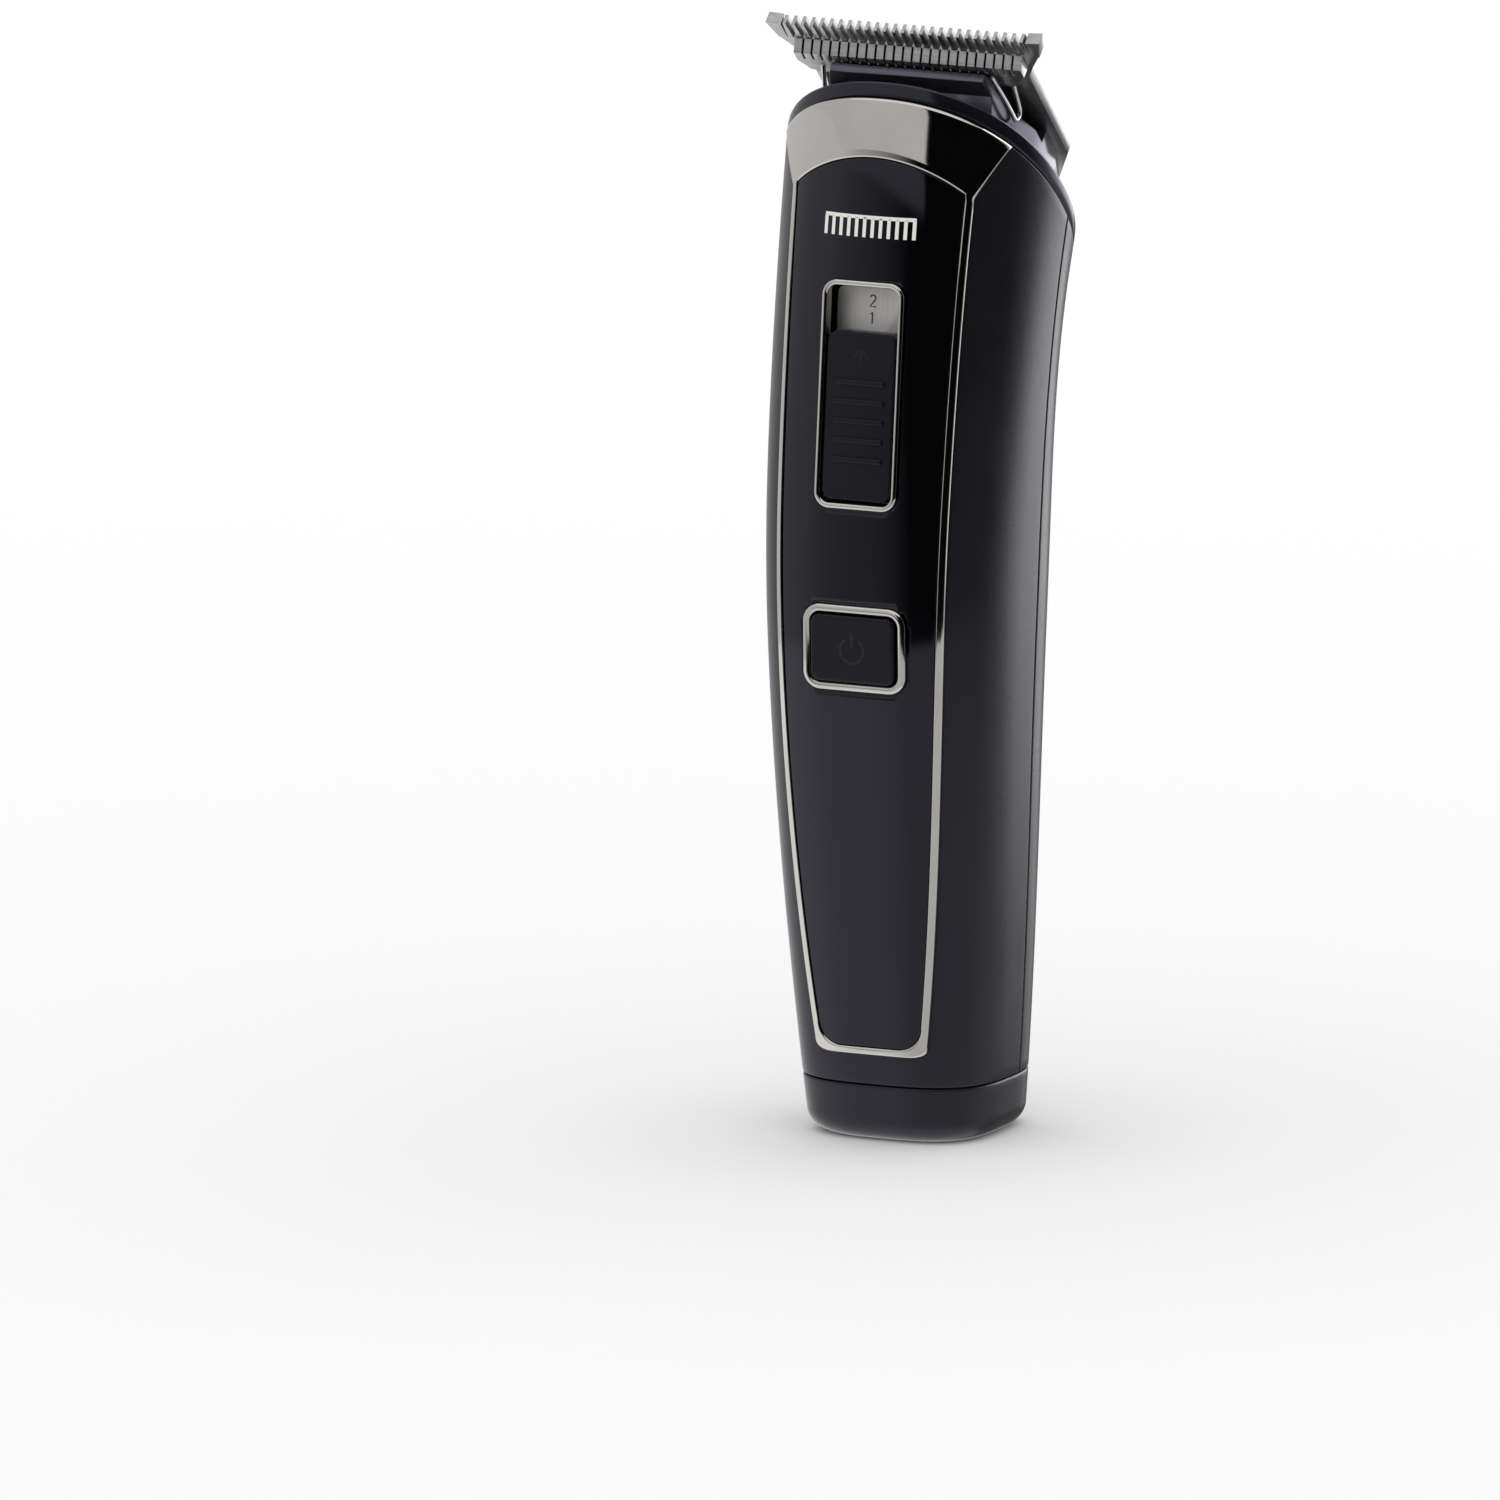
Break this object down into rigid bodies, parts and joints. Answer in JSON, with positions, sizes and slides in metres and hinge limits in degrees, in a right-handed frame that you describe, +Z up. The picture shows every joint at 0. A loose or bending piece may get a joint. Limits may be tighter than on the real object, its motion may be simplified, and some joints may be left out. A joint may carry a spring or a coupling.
{
  "type": "beard trimmer",
  "caption": "Upright cordless beard trimmer with a wide T-shaped cutting head, bright-edged front panel, thumb slider and power button.",
  "frame": {"origin": "centre of the flat face under the base cap", "axes": "+Z up the handset from its base, -Y out of the front panel, X across the blade"},
  "size_m": [0.0412, 0.0412, 0.1538],
  "materials": {
    "shell_black": "satin black moulded ABS",
    "panel_black": "polished blue-black acrylic",
    "rim_black": "gloss black moulding",
    "bright_trim": "mirror-plated plastic trim",
    "blade_steel": "ground tool steel",
    "spring_steel": "bright spring wire",
    "plated_steel": "nickel plate",
    "setting_silver": "fine brushed plate",
    "slider_black": "fine satin black",
    "nylon": "natural nylon",
    "inner_grey": "moulded grey",
    "board_green": "solder-masked laminate",
    "cell_wrap": "shrink sleeve",
    "pad_rubber": "silicone"
  },
  "bodies": {
    "handset": {"front_shell": "shell_black", "rear_shell": "shell_black", "front_panel": "panel_black", "chrome_bezel": "bright_trim", "collar_ring": "rim_black", "base_cap": "shell_black", "charge_contacts": "plated_steel", "charge_jack": "inner_grey", "base_screws": "plated_steel", "slider_ring": "bright_trim", "setting_plate": "setting_silver", "detent_spring": "spring_steel", "button_ring": "bright_trim", "button_pad": "pad_rubber", "tact_switch": "inner_grey", "circuit_board": "board_green", "battery_cell": "cell_wrap", "battery_tab_top": "plated_steel", "battery_tab_base": "plated_steel", "motor_can": "plated_steel", "motor_endcap": "inner_grey", "motor_bracket": "inner_grey", "bracket_screws": "plated_steel", "inner_chassis": "inner_grey", "top_deck": "inner_grey"},
    "slider": {"length_slider": "slider_black", "push_rod": "inner_grey"},
    "button": {"power_button": "slider_black"},
    "rotor": {"motor_shaft": "blade_steel", "eccentric_cam": "nylon"},
    "head": {"head_base": "rim_black", "head_clips": "inner_grey", "head_housing": "rim_black", "fixed_blade": "blade_steel", "blade_spring": "spring_steel", "blade_screws": "plated_steel"},
    "carrier": {"blade_carrier": "inner_grey"},
    "cutter": {"moving_blade": "blade_steel", "drive_yoke": "nylon"}
  },
  "joints": [
    {"name": "slider_slide", "type": "slide", "parent": "handset", "child": "slider", "axis": [0, 0.0963, 0.9953], "range_m": [0, 0.006]},
    {"name": "power_press", "type": "slide", "parent": "handset", "child": "button", "axis": [0, 0.9998, 0.0185], "range_m": [0, 0.0008], "stiffness_N_per_m": 300, "springref_m": -0.002},
    {"name": "rotor_spin", "type": "hinge", "parent": "handset", "child": "rotor", "pos_m": [0, 0.002, 0.1], "axis": [0, 0, 1], "continuous": true},
    {"name": "head_release", "type": "slide", "parent": "handset", "child": "head", "axis": [0, 0.7071, 0.7071], "range_m": [0, 0.022]},
    {"name": "blade_set", "type": "slide", "parent": "head", "child": "carrier", "axis": [0, -0.7071, 0.7071], "range_m": [0, 0.0012]},
    {"name": "blade_stroke", "type": "slide", "parent": "carrier", "child": "cutter", "axis": [1, 0, 0], "range_m": [-0.0012, 0.0012]}
  ],
  "couplings": [
    {"joint": "blade_set", "follows": "slider_slide", "ratio": 0.2}
  ]
}
